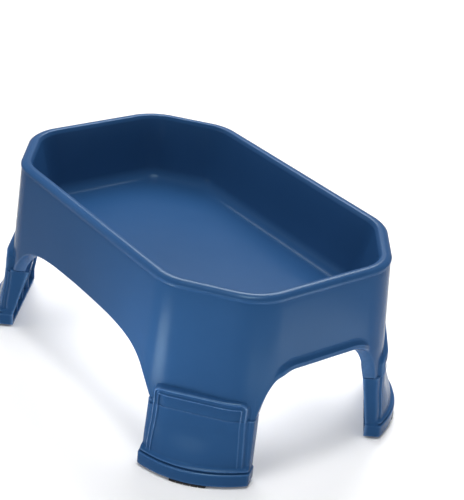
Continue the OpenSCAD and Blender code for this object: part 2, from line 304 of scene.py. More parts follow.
# ---------------------------------------------------------------- basin
EDGE_THICKNESS = 2.0
SOLE_CORNER = 2.2
SOLE_LEVEL = SEAM + 0.3
SOLE_FILLET = 0.15
EDGE_FILLET = 1.5
# Share of the run and of the drop at the two middle Bezier points of an arch's shoulder
LONG_SHOULDER = ((0.66, 0.81), (0.09, 0.34))
END_SHOULDER = ((0.45, 0.80), (0.013, 0.26))
SHOULDER_POINTS = 44
# Spacing of points along the lower edge: beside a leg's corners, over its middle, on the arches
FINE_LENGTH = 20.0
FINE_STEP = 0.7
MIDDLE_STEP = 2.4
LONG_STEP = 12
END_STEP = 10


def shoulder(start, end, run, drop):
    """Bezier points of an arch's shoulder, from its flat top down to the leg's lower corner."""
    return [np.array(p) for p in (
        start, (mix(start[0], end[0], run[0]), mix(start[1], end[1], drop[0])),
        (mix(start[0], end[0], run[1]), mix(start[1], end[1], drop[1])), end)]


def leg_limits():
    """Distances s at which a leg's sole begins and ends."""
    radius = CORNER_RADIUS + lean(SEAM)
    a = S_CUT - CORNER_RADIUS * math.asin((HALF_LEG - FLAT_LONG) / radius)
    b = S_CUT_END + CORNER_RADIUS * math.asin((HALF_LEG - FLAT_END) / radius)
    return a, b


def soft_corner(before, corner, after):
    """Quadratic curve round a corner, from its arriving point to its leaving point."""
    t = np.linspace(0, 1, 9)[:, None]
    return (1 - t) ** 2 * before + 2 * t * (1 - t) * corner + t**2 * after


def lower_edge():
    """The skirt's lower edge in a quarter, as points (s, z) in order."""
    s_leg, s_leg_end = leg_limits()
    long_side = [(s, LONG_ARCH - ARCH_SAG * (s / LONG_FLAT) ** 2)
                 for s in spaced(0, LONG_FLAT, LONG_STEP)]
    steps = np.linspace(0, 1, SHOULDER_POINTS)
    long_curve = shoulder((LONG_FLAT, LONG_ARCH - ARCH_SAG), (s_leg, SEAM), *LONG_SHOULDER)
    end_curve = shoulder((END_FLAT, END_ARCH), (s_leg_end, SEAM), *END_SHOULDER)
    going_down = np.array([bezier(long_curve, t) for t in steps])
    going_up = np.array([bezier(end_curve, t) for t in steps])[::-1]
    near = np.linalg.norm(going_down - long_curve[3], axis=1) > SOLE_CORNER
    far = np.linalg.norm(going_up - end_curve[3], axis=1) > SOLE_CORNER
    going_down, going_up = going_down[near], going_up[far]
    sole_start = np.array([s_leg + SOLE_CORNER, SEAM])
    sole_end = np.array([s_leg_end - SOLE_CORNER, SEAM])
    fine_end, fine_start = sole_start[0] + FINE_LENGTH, sole_end[0] - FINE_LENGTH
    sole = (spaced(sole_start[0], fine_end, FINE_STEP)
            + spaced(fine_end, fine_start, MIDDLE_STEP)[1:-1]
            + spaced(fine_start, sole_end[0], FINE_STEP))
    end_side = [(s, END_ARCH) for s in spaced(END_FLAT, S_TOTAL, END_STEP)]
    return np.vstack([
        long_side[:-1], going_down,
        soft_corner(going_down[-1], long_curve[3], sole_start)[1:-1],
        [(s, SEAM) for s in sole],
        soft_corner(sole_end, end_curve[3], going_up[0])[1:-1],
        going_up, end_side[1:]])


EDGE = lower_edge()


def edge_normals(edge):
    """Directions in (s, z) that point off the plastic along the lower edge."""
    way = np.gradient(edge, axis=0)
    way[0] = way[-1] = (1, 0)
    way /= np.linalg.norm(way, axis=1)[:, None]
    return np.stack([way[:, 1], -way[:, 0]], -1)


EDGE_OFF = edge_normals(EDGE)


def panel_lift(u):
    """How far the raised face stands proud; more towards the long side."""
    return PANEL_PROUD * (1 - PANEL_TURN * u / PANEL_HALF)


def corner_distance(du, dz, corner):
    """Distance in from an outline with one rounded corner."""
    arc = corner - np.hypot(np.maximum(corner - du, 0), np.maximum(corner - dz, 0))
    return np.where((du < corner) & (dz < corner), arc, np.minimum(du, dz))


# Height of the raised face's moulding against distance in from its outline
FRAME = np.array([(-2.6, 0.0), (-1.6, -0.45), (-0.7, -0.7), (0.0, -0.1), (0.5, 2.6), (1.0, 5.0),
                  (1.5, 6.1), (2.1, 6.5), (2.9, 6.4), (3.6, 5.7), (4.4, 5.1), (5.6, 4.9),
                  (6.7, 5.1), (7.4, 5.9), (8.1, 6.45), (8.8, 6.3), (9.5, 5.2), (10.2, 4.3),
                  (11.2, 4.15), (13.0, 4.35), (17.0, 4.9), (24.0, 5.4)])
# Where its crest lies, the roundings of its outline and of the field inside it, how much closer
# to the crest the field starts at the sides, and how far below the top the valley fades in
FRAME_CREST = 2.1
FRAME_CORNER = 9.0
FIELD_CORNER = 10.0
FIELD_NARROWING = 1.3
VALLEY_START = 5.0
VALLEY_FADE = 8.0


def panel_level(u, z, half, top, rest=0.0):
    """Height of a leg's raised face over its margin, which stands at rest."""
    du, dz = half - np.abs(u), top - z
    edge = corner_distance(du, dz, FRAME_CORNER)
    inner = corner_distance(du * FIELD_NARROWING, dz, FIELD_CORNER)
    d = np.where(edge < FRAME_CREST, edge, np.maximum(inner, FRAME_CREST))
    level = np.interp(d, FRAME[:, 0], FRAME[:, 1]) / PANEL_PROUD
    level = np.where(level < 0, level * ease((dz - VALLEY_START) / VALLEY_FADE), level)
    lift = panel_lift(u)
    return np.where(level > 0, rest + (lift - rest) * level, rest + PANEL_PROUD * level)


# Lip along the ends' arches: how proud and high it is, and the faint groove above it
LIP_START = END_FLAT - 26
LIP_FADE = 14
LIP_PROUD = 4.2
LIP_HEIGHT = 4.5
LIP_ROUND = 3.6
GROOVE_DEPTH = 0.6
GROOVE_HEIGHT = 9.6
GROOVE_HALF = 2.2


def flare_level(s, z, edge_z):
    """The rounded lip that stands out along the ends' arches and fades at their corners."""
    along = ease((s - LIP_START) / LIP_FADE)
    up = z - edge_z
    lip = LIP_PROUD * ease(1 - (up - LIP_HEIGHT) / LIP_ROUND)
    groove = GROOVE_DEPTH * ease(1 - np.abs(up - GROOVE_HEIGHT) / GROOVE_HALF)
    return along * (lip - groove)


def to_plan(s, out, z):
    """Points of the bowl at distance s, out from the rim's outer edge, at height z."""
    p = outline(s) + np.asarray(out)[..., None] * outward(s)
    return np.concatenate([p, np.asarray(z, float)[..., None] + 0 * p[..., :1]], -1)


def skirt_face(s, z, edge_z):
    """Outer face of the skirt with its raised leg face and arch lip."""
    base = to_plan(s, lean(z), z)
    u = (base[..., :2] - CUT_MIDDLE) @ CUT_DIR
    over_leg = (s > leg_limits()[0] - 1) & (s < leg_limits()[1] + 1)
    level = np.where(over_leg, panel_level(u, z, PANEL_HALF, PANEL_TOP), 0.0)
    base[..., :2] += level[..., None] * CUT_OUT
    base[..., :2] += flare_level(s, z, edge_z)[..., None] * outward(s)
    return base


# The bowl's wall, as offsets from the rim's outer edge
BOWL_TOP_OUT = -13.5
BOWL_LEAN = 14.5 / 56
BOWL_LEAN_FROM = RIM_HEIGHT - 4
BOWL_FOOT_OUT = BOWL_TOP_OUT - (BOWL_LEAN_FROM - FLOOR_Z) * BOWL_LEAN
FLOOR_OUT = -52
RIM_IN = -10.2
# The bowl's wall and rolled rim as (out, height over the rim's plane), and its corners' radii
RIM_PROFILE = [(BOWL_TOP_OUT + 1.6 * BOWL_LEAN, -2.4), (RIM_IN, 1.7), (-6.0, 2.0), (-2.0, 0.9),
               (1.1, -1.6), (1.1, -4.6), (0.25, -5.5), (0.45, -7.5)]
RIM_RADII = [18, 3.0, 3.0, 8.0, 7.0, 1.6, 0.5, 0.4]
RIM_ARC_STEP = 10
# Pieces of the profile longer than this get points in between
LONG_PIECE = 12
SKIRT_TOP = RIM_HEIGHT - 9
FACE_TOP = PANEL_TOP + 5
SKIRT_STEP = 9
FACE_STEP = 0.55
RIM_UNDERSIDE = RIM_HEIGHT - 1.5
UNDER_RADII = [2.5, 2.5, 15]
UNDER_ARC_STEP = 15
# How deep the lower edge is turned in: under a leg's sole and along the arches
SOLE_TURN_IN = WALL + 1.0
ARCH_TURN_IN = WALL + 2.0
TURN_CHAMFER = 0.6
STEEP_FROM = 0.3
STEEP_RANGE = 0.3


def quarter_section():
    """Rows of points over one quarter, from the bowl's floor over the rim to the underside."""
    s, z_edge = EDGE[:, 0], EDGE[:, 1]
    off = EDGE_OFF
    ones = np.ones_like(s)
    rows = []
    wall_and_rim = [(out, RIM_HEIGHT + up) for out, up in RIM_PROFILE]
    profile = rounded([(FLOOR_OUT, FLOOR_Z), (BOWL_FOOT_OUT, FLOOR_Z)] + wall_and_rim,
                      RIM_RADII, RIM_ARC_STEP)
    lengths = np.linalg.norm(np.diff(profile, axis=0), axis=1)
    for i, (out, z) in enumerate(profile):
        rows.append(to_plan(s, out * ones, z * ones))
        if i < len(lengths) and lengths[i] > LONG_PIECE:
            for t in (0.25, 0.5, 0.75):
                p = mix(profile[i], profile[i + 1], t)
                rows.append(to_plan(s, p[0] * ones, p[1] * ones))
    sole = z_edge < SOLE_LEVEL
    fillet = np.where(sole, SOLE_FILLET, EDGE_FILLET)
    s_low, z_low = s - fillet * off[:, 0], z_edge - fillet * off[:, 1]
    leg_rows = np.array(spaced(SKIRT_TOP, FACE_TOP, SKIRT_STEP)
                        + spaced(FACE_TOP, SOLE_LEVEL, FACE_STEP)[1:])
    share = (leg_rows - leg_rows[-1]) / (leg_rows[0] - leg_rows[-1])
    for f in share:
        z = z_low + (SKIRT_TOP - z_low) * f
        rows.append(skirt_face(mix(s_low, s, f), z, z_edge))
    # round the lower edge and turn it in, deep at the legs' sides
    steep = ease((np.abs(off[:, 0]) - STEEP_FROM) / STEEP_RANGE)
    depth = np.where(sole, SOLE_TURN_IN, mix(ARCH_TURN_IN, LEG_DEPTH, steep))
    into = -(mix(outward(s), CUT_OUT[None, :], np.where(sole, 0, steep)[:, None]))
    into /= np.linalg.norm(into, axis=1)[:, None]
    face_low = skirt_face(s_low, z_low, z_edge)
    relief = face_low - to_plan(s_low, lean(z_low), z_low)

    def turned(shift, deep, keep):
        """Edge points moved back over the plastic by shift and in by deep; keep is the share of
        the face's relief that they keep."""
        ss, zz = s - shift * off[:, 0], z_edge - shift * off[:, 1]
        p = to_plan(ss, lean(zz), zz)
        p[:, :2] += into * deep[:, None]
        return p + relief * keep

    for a in np.radians([20, 40, 60, 80]):
        rows.append(turned(fillet * (1 - math.sin(a)), fillet * (1 - math.cos(a)), 1.0))
    rows.append(turned(0, fillet * 1.1, 1.0))
    rows.append(turned(0, depth - TURN_CHAMFER, 0.0))
    rows.append(turned(0.2, depth - 0.15, 0.0))
    rows.append(turned(0.7, depth, 0.0))
    rows.append(turned(EDGE_THICKNESS - TURN_CHAMFER, depth, 0.0))
    rows.append(turned(EDGE_THICKNESS, depth - TURN_CHAMFER, 0.0))
    s_in, z_in = s - EDGE_THICKNESS * off[:, 0], z_edge - EDGE_THICKNESS * off[:, 1]
    for f in (0.0, 0.12, 0.35, 0.6, 0.8, 1.0):
        z = z_in + (SKIRT_TOP - z_in) * f
        rows.append(to_plan(mix(s_in, s, f), lean(z) - WALL, z))
    under = [(-WALL + 0.5, SKIRT_TOP + 0.5), (-WALL, RIM_UNDERSIDE), (RIM_IN, RIM_UNDERSIDE),
             (BOWL_FOOT_OUT + WALL + 0.6, FLOOR_Z - WALL), (FLOOR_OUT, FLOOR_Z - WALL)]
    for out, z in rounded(under, UNDER_RADII, UNDER_ARC_STEP):
        rows.append(to_plan(s, out * ones, z * ones))
    return np.array(rows)


def full_rings(quarter):
    """The four mirrored quarters of each row, joined into one closed ring."""
    onward, backward = quarter[:, :-1], quarter[:, :0:-1]
    return np.concatenate([onward, backward * (1, -1, 1), onward * (-1, -1, 1),
                           backward * (-1, 1, 1)], axis=1)


def build_basin_shell():
    """The bowl, rim, skirt and hollow legs as one closed shell."""
    rings = full_rings(quarter_section())
    rows, cols = rings.shape[:2]
    faces = grid_faces(rows, cols, closed=True)
    faces.append(tuple(range(cols)))
    faces.append(tuple(range((rows - 1) * cols, rows * cols)))
    return make_object("basin_shell", rings.reshape(-1, 3), faces, SHELL_SHARP)


# Ribs and shelf in a hollow leg: thickness of the ribs, their places, heights and depths
GUSSET = 2.4
GUSSET_AT = 34
GUSSET_LOW = PLUG_TOP + 6
GUSSET_HIGH = RIM_HEIGHT - 10
GUSSET_BAND = 8
GUSSET_FULL = FLOOR_Z + 6
SHELF_Z = SEAM + 3
SHELF_THICKNESS = 2.6
SHELF_OUT = wall_out(0, PLUG_TOP) - WALL - EXT_WALL - 3 * PLUG_GAP
SHELF_HALF = 23.0
SHELF_DEPTH = 9.0
WEB_DEPTH = 40.0
RIB_SOFT = 0.4


def bowl_back(z):
    """Offset of the bowl's outer side at height z, for ribs that reach it."""
    return BOWL_TOP_OUT + 2 - (BOWL_LEAN_FROM - z) * BOWL_LEAN


def across(u, thickness):
    """The two sides of a rib of this thickness at u."""
    return [u - thickness / 2, u + thickness / 2]


def leg_inside(corner):
    """Gussets, shelf and shelf webs inside one of the basin's hollow legs."""
    def gusset_back(u, z):
        rise = ease((z - GUSSET_LOW) / (GUSSET_FULL - GUSSET_LOW)) ** 0.7
        return mix(wall_out(GUSSET_AT * np.sign(u), GUSSET_LOW) - GUSSET_BAND,
                   bowl_back(np.maximum(z, GUSSET_FULL)) - 2, rise)

    def web_back(u, z):
        return SHELF_OUT - mix(SHELF_DEPTH, WEB_DEPTH, ((z - SHELF_Z) / (FLOOR_Z - SHELF_Z)) ** 1.4)

    made = []
    for side in (-1, 1):
        made.append(slab_object(
            "gusset", across(side * GUSSET_AT, GUSSET), spaced(GUSSET_LOW, GUSSET_HIGH, 6),
            lambda u, z: wall_out(u, z) - WALL / 2, gusset_back, RIB_SOFT))
    made.append(slab_object(
        "shelf", spaced(-SHELF_HALF, SHELF_HALF, 8), [SHELF_Z, SHELF_Z + SHELF_THICKNESS],
        lambda u, z: SHELF_OUT, lambda u, z: SHELF_OUT - SHELF_DEPTH, 0.5))
    for side in (-1, 1):
        made.append(slab_object(
            "web", across(side * SHELF_HALF, GUSSET), spaced(SHELF_Z, FLOOR_Z - 0.5, 5),
            lambda u, z: SHELF_OUT, web_back, RIB_SOFT))
    return [place_at_leg(o, corner) for o in made]


# Ribs under the floor: heights, half widths at the root and the crest, length of the rounded end
RIB_TOP = FLOOR_Z - WALL + 0.8
RIB_LOW = FLOOR_Z - WALL - 5.0
RIB_ROOT = 1.4
RIB_CREST = 0.9
RIB_END_ROUND = 9.0
RIB_SECTIONS = 24


def floor_rib(name, half_length, along_x, at):
    """One tapered rib under the bowl's floor, with rounded ends."""
    t = np.linspace(-1, 1, RIB_SECTIONS)
    rise = np.clip((1 - np.abs(t)) * half_length / RIB_END_ROUND, 0, 1)
    depth = RIB_TOP - (RIB_TOP - RIB_LOW) * np.sqrt(1 - (1 - rise) ** 2 + 1e-9)
    verts = []
    for ti, zi in zip(t, depth):
        for w, z in ((-RIB_ROOT, RIB_TOP), (-RIB_CREST, zi), (RIB_CREST, zi), (RIB_ROOT, RIB_TOP)):
            p = (ti * half_length, at + w) if along_x else (at + w, ti * half_length)
            verts.append((*p, min(z, RIB_TOP)))
    faces = grid_faces(RIB_SECTIONS, 4, closed=True)
    faces += [(0, 1, 2, 3), tuple(range(len(verts) - 4, len(verts)))]
    return make_object(name, verts, faces)


def floor_ribs():
    """Tapered stiffening ribs under the bowl's floor."""
    across_floor = [floor_rib("rib_across", 84, False, x) for x in (-110, 0, 110)]
    along_floor = [floor_rib("rib_along", 172, True, y) for y in (-45, 45)]
    return across_floor + along_floor


def build_basin():
    parts = [build_basin_shell()] + floor_ribs()
    for corner in CORNERS:
        parts += leg_inside(corner)
    return joined("basin_moulding", parts)


# ---------------------------------------------------------------- leg extension
# How the face passes from the foot over its beaded ledge into the raised panel
FOOT_TAPER = 1.5
FOOT_SETBACK = 5.0
FLARE_HEIGHT = 44.0
BEAD_CLEAR = 3.0
BEAD_FADE = 2.5
FOOT_BLEND = 3.2
FOOT_BLEND_FADE = 3.6
PANEL_WIDENING = 3.0
MARGIN = 2.9
SIDE_CORNER = 2.4


def foot_out(u):
    """How far out the foot's bowed front stands."""
    return FOOT_REACH - FOOT_BOW * (u / HALF_FOOT) ** 2 - FOOT_TURN * u / HALF_FOOT


# Inset of the face above the foot, as (height above the foot's top edge, inset)
FOOT_STEP = np.array([(-2.4, 0.0), (-1.5, 0.12), (-0.8, 0.45), (-0.3, 1.1), (0.0, 2.2), (0.3, 4.4),
                      (0.9, 4.8), (1.5, 3.9), (2.0, 2.6), (2.6, 1.9), (3.2, 1.9), (3.8, 2.7),
                      (4.5, 4.1), (5.6, 4.8), (9.0, 5.0), (13.0, 5.0)])


def foot_inset(z):
    """How far the face steps back at height z from the foot's front."""
    return np.interp(z - FOOT_TOP, FOOT_STEP[:, 0], FOOT_STEP[:, 1])


def panel_half(z):
    """Half width of the raised face, which widens towards the foot."""
    return PANEL_HALF + PANEL_WIDENING * ease((SEAM - z) / (SEAM - FOOT_TOP))


def ext_half(z):
    """Half width of the extension at height z."""
    lower = ease((FOOT_TOP + FOOT_TAPER - z) / (2 * FOOT_TAPER))
    rise = np.clip((z - FOOT_TOP) / (SEAM - FOOT_TOP), 0, 1)
    return mix(mix(HALF_FOOT - FOOT_TAPER, HALF_LEG, rise), HALF_FOOT, lower)


def ext_face(u, z, detail=1.0):
    """Front face of an extension: raised panel flaring to the bowed foot. Detail 0 leaves the
    panel's moulding out, for the inner wall."""
    flare = ease((z - FOOT_TOP) / FLARE_HEIGHT)
    lift = panel_lift(u)
    smooth = mix(foot_out(u) - FOOT_SETBACK, wall_out(u, z) + lift, flare)
    shape = panel_level(u, z, panel_half(z), PANEL_TOP, MARGIN) - lift
    above = ease((z - FOOT_TOP - BEAD_CLEAR) / BEAD_FADE)
    face = smooth + shape * above * detail
    foot = foot_out(u) - foot_inset(z)
    return mix(foot, face, ease((z - FOOT_TOP - FOOT_BLEND) / FOOT_BLEND_FADE))


def ext_rear(u, z):
    """Offset of the extension's open rear edge."""
    low = FOOT_REACH - FOOT_BOW - FOOT_DEPTH - FOOT_TURN * u / HALF_FOOT
    high = wall_out(HALF_LEG, SEAM) - LEG_DEPTH
    return mix(low, high, np.clip((z - FOOT_TOP) / (SEAM - FOOT_TOP), 0, 1))


def ext_path(z, wall=0.0, detail=1.0, inset=0.0, fine=True):
    """Plan path of the extension at height z, from its right rear edge round to the left."""
    half = ext_half(z) - wall - inset
    edge_u = half - SIDE_CORNER
    if fine:
        shares = (spaced(1.0, 0.70, 0.012) + spaced(0.70, -0.70, 0.045)[1:-1]
                  + spaced(-0.70, -1.0, 0.012))
    else:
        shares = spaced(1.0, -1.0, 0.1)
    us = np.array(shares) * edge_u
    front = ext_face(us, z, detail) - wall - inset
    pts = []
    t = np.linspace(0, 1, 8)[1:-1]
    for side in (1, -1):
        end_n = ext_face(np.array([side * half]), z, detail)[0] - wall - inset
        corner = np.array([side * half, end_n])
        run_in = np.array([side * edge_u, front[0 if side > 0 else -1]])
        run_down = np.array([side * half, end_n - SIDE_CORNER])
        curve = [(1 - k) ** 2 * run_down + 2 * k * (1 - k) * corner + k * k * run_in for k in t]
        rear = ext_rear(side * half, z)
        down = [np.array([side * half, mix(rear, run_down[1], k)]) for k in np.linspace(0, 1, 7)]
        pts.append(down + curve)
    middle = [np.array([u, n]) for u, n in zip(us, front)]
    path = pts[0] + middle + pts[1][::-1]
    return np.array([(p[0], -p[1], z) for p in path])


NOTCH_HALF = SHELF_HALF + 2
END_THICKNESS = 3.0
# Rounded lower and upper edges, as (distance from the edge, inset)
LOWER_ROUND = [(0, 1.0), (0.15, 0.5), (0.5, 0.15)]
UPPER_ROUND = [(0.2, 0.03), (0.08, 0.08), (0, 0.18)]


def build_extension_shell():
    """An extension's walls, deck and sole as one closed shell, open behind."""
    low, high = PAD_THICKNESS, EXT_TOP
    body = (spaced(low + 1.2, FOOT_TOP - 3.4, 2.2) + spaced(FOOT_TOP - 3.2, FOOT_TOP + 9, 0.35)
            + spaced(FOOT_TOP + 9.6, high - 0.6, 1.3))
    levels = ([(low + up, inset) for up, inset in LOWER_ROUND] + [(z, 0.0) for z in body]
              + [(high - down, inset) for down, inset in UPPER_ROUND])
    outer = np.array([ext_path(z, inset=inset) for z, inset in levels])
    rows, cols = outer.shape[:2]
    sole, deck = low + END_THICKNESS, high - END_THICKNESS
    inner_zs = [mix(sole, deck, (level[0] - low) / (high - low)) for level in levels]
    inner = np.array([ext_path(z, EXT_WALL, 0.0, fine=False) for z in inner_zs])
    icols = inner.shape[1]
    verts = list(outer.reshape(-1, 3))
    faces = grid_faces(rows, cols)
    base = len(verts)
    verts += list(inner.reshape(-1, 3))
    faces += grid_faces(rows, icols, start=base)
    # rear frame between the outer and inner rear edges, right then left
    for j in range(rows - 1):
        for o, i in ((0, 0), (cols - 1, icols - 1)):
            faces.append((j * cols + o, (j + 1) * cols + o,
                          base + (j + 1) * icols + i, base + j * icols + i))
    # deck with a notch behind for the basin's own pad
    notch_front = -(SHELF_OUT + PLUG_GAP)
    notch = [(NOTCH_HALF, -ext_rear(NOTCH_HALF, high)), (NOTCH_HALF, notch_front),
             (-NOTCH_HALF, notch_front), (-NOTCH_HALF, -ext_rear(-NOTCH_HALF, high))]
    upper = len(verts)
    verts += [np.array([x, y, high]) for x, y in notch]
    lower = len(verts)
    verts += [np.array([x, y, deck]) for x, y in notch]
    top_row, inner_top = (rows - 1) * cols, base + (rows - 1) * icols
    for start, width, notch_start in ((top_row, cols, upper), (inner_top, icols, lower)):
        faces.append((*range(start, start + width), *range(notch_start + 3, notch_start - 1, -1)))
    edge_up = [top_row] + [upper + k for k in range(4)] + [top_row + cols - 1]
    edge_down = [inner_top] + [lower + k for k in range(4)] + [inner_top + icols - 1]
    for k in range(5):
        faces.append((edge_up[k], edge_up[k + 1], edge_down[k + 1], edge_down[k]))
    # sole
    faces.append(tuple(range(cols)))
    faces.append(tuple(range(base, base + icols)))
    faces.append((0, cols - 1, base + icols - 1, base))
    return make_object("extension_shell", np.array(verts), faces, EXTENSION_SHARP)


PLUG_HALF = HALF_LEG - 13
PLUG_BASE = EXT_TOP - 1
PLUG_SOFT = 0.5
LEAD_IN = 0.35
LEAD_HEIGHT = 4
WING_THICKNESS = 2.0
WING_DEPTHS = (7.0, 4.0)
PLUG_RIB_THICKNESS = 1.8
INNER_RIB_THICKNESS = 2.2


def plug_front(u):
    """Offset of the plug's front, a gap behind the leg's wall."""
    return wall_out(u, PLUG_TOP) - WALL - PLUG_GAP


def build_plug():
    """Shallow channel that slides up inside the basin's leg, with side wings and low ribs."""
    def face(u, z):
        return plug_front(u) - LEAD_IN * ease((z - (PLUG_TOP - LEAD_HEIGHT)) / LEAD_HEIGHT)

    def wing_back(u, z):
        rise = (z - PLUG_BASE) / (PLUG_TOP - PLUG_BASE)
        return plug_front(PLUG_HALF) - mix(*WING_DEPTHS, rise)

    parts = [slab_object(
        "plug_wall", spaced(-PLUG_HALF, PLUG_HALF, 2.5), spaced(PLUG_BASE, PLUG_TOP, 2.5), face,
        lambda u, z: plug_front(u) - EXT_WALL, PLUG_SOFT)]
    for side in (-1, 1):
        middle = side * (PLUG_HALF - WING_THICKNESS / 2)
        parts.append(slab_object(
            "plug_wing", across(middle, WING_THICKNESS), spaced(PLUG_BASE, PLUG_TOP - 1.5, 3),
            lambda u, z: plug_front(PLUG_HALF) - 0.5, wing_back, PLUG_SOFT))
    for middle in (-20.0, 0.0, 20.0):
        root = plug_front(middle) - EXT_WALL
        parts.append(slab_object(
            "plug_rib", across(middle, PLUG_RIB_THICKNESS), spaced(PLUG_BASE, PLUG_TOP - 5, 3),
            lambda u, z: root + 0.4, lambda u, z: root - 0.05, 0.3))
    return parts


def build_inner_ribs():
    """Upright ribs behind the face; those behind the deck's notch stop short of it."""
    def back(u, z):
        high = np.where(np.abs(u) < NOTCH_HALF, ease((z - (EXT_TOP - 9)) / 2.0), 0)
        return mix(ext_rear(u, z) + 1.5, SHELF_OUT + PLUG_GAP, high)

    return [slab_object("inner_rib", across(middle, INNER_RIB_THICKNESS),
                        spaced(PAD_THICKNESS + 1.5, EXT_TOP - 1.5, 2.5),
                        lambda u, z: ext_face(u, z, 0.0) - 1.2, back, 0.35)
            for middle in (-30.0, 0.0, 30.0)]


def build_extension(corner):
    parts = [build_extension_shell()] + build_plug() + build_inner_ribs()
    return place_at_leg(joined("extension_moulding_" + corner, parts), corner)


# ---------------------------------------------------------------- rubber pads
PAD_CLEARANCE = 0.02
FOOT_PAD_BLOCKS = 5
BLOCK_GAP = 1.0
BLOCK_HEIGHT = 1.5
BACKING_LOW = 1.1
BASIN_PAD_HALF = SHELF_HALF - 2
BASIN_PAD_FRONT = SHELF_OUT - 1
BASIN_PAD_BACK = BASIN_PAD_FRONT - (SHELF_DEPTH - 2)
BASIN_PAD_LOW = SHELF_Z - 5
TREADS = 6
TREAD_HALF = 3.0
TREAD_HEIGHT = 1.8


def build_foot_pad(corner):
    """Pad under a foot: a backing strip with bevelled tread blocks below it."""
    half = PAD_LENGTH / 2
    pitch = PAD_LENGTH / FOOT_PAD_BLOCKS
    parts = [slab_object(
        "pad_backing", spaced(-half, half, 2), [BACKING_LOW, PAD_THICKNESS - PAD_CLEARANCE],
        lambda u, z: foot_out(u) + 0.5, lambda u, z: foot_out(u) - PAD_DEPTH, 0.3)]
    for k in range(FOOT_PAD_BLOCKS):
        middle = -half + pitch * (k + 0.5)
        ends = across(middle, pitch - BLOCK_GAP)
        parts.append(slab_object(
            "pad_block", spaced(*ends, 1.5), [0.0, BLOCK_HEIGHT],
            lambda u, z: foot_out(u) + 0.35, lambda u, z: foot_out(u) - PAD_DEPTH + 0.3, 0.4))
    return place_at_leg(joined("rubber_foot_pad_" + corner, parts), corner)


def build_basin_pad(corner):
    """Rubber pad under the shelf of the basin's own leg."""
    parts = [slab_object(
        "pad_body", spaced(-BASIN_PAD_HALF, BASIN_PAD_HALF, 3),
        [BASIN_PAD_LOW + 1.4, SHELF_Z - PAD_CLEARANCE],
        lambda u, z: BASIN_PAD_FRONT, lambda u, z: BASIN_PAD_BACK, 0.5)]
    for k in range(TREADS):
        middle = mix(-BASIN_PAD_HALF, BASIN_PAD_HALF, (k + 0.5) / TREADS)
        parts.append(slab_object(
            "pad_tread", [middle - TREAD_HALF, middle, middle + TREAD_HALF],
            [BASIN_PAD_LOW, BASIN_PAD_LOW + TREAD_HEIGHT],
            lambda u, z: BASIN_PAD_FRONT - 0.3, lambda u, z: BASIN_PAD_BACK + 0.3, 0.5))
    return place_at_leg(joined("rubber_basin_pad_" + corner, parts), corner)


# ---------------------------------------------------------------- materials
def node_material(name):
    mat = bpy.data.materials.new(name)
    mat.use_nodes = True
    tree = mat.node_tree
    bsdf = tree.nodes["Principled BSDF"]
    return mat, tree, bsdf


def add(tree, kind, **inputs):
    """A new node with these inputs set; an underscore in a name stands for a space."""
    node = tree.nodes.new(kind)
    for key, value in inputs.items():
        node.inputs[key.replace("_", " ")].default_value = value
    return node


def ramp(tree, source, stops):
    """A colour ramp from source with these (position, colour) stops."""
    node = tree.nodes.new("ShaderNodeValToRGB")
    elements = node.color_ramp.elements
    while len(elements) < len(stops):
        elements.new(0.5)
    for element, (pos, color) in zip(elements, stops):
        element.position = pos
        element.color = color
    tree.links.new(source, node.inputs["Fac"])
    return node


def tinted(color, gain, lift):
    """The colour made paler or darker, as RGBA."""
    return tuple(min(1, c * gain + lift) for c in color) + (1,)


BLACK = (0, 0, 0, 1)
WHITE = (1, 1, 1, 1)
PLASTIC_IOR = 1.49
SPECULAR_TINT = (0.62, 0.92, 1.0, 1)
# Specular level on faces and on convex edges, and the pointiness between which the edges get a
# painted highlight in their colour and the higher specular level
FACE_SPECULAR = 0.065
EDGE_SPECULAR = 0.75
EDGE_HIGHLIGHT_FROM = 0.506
EDGE_HIGHLIGHT_TO = 0.56
GRAIN = 0.00025


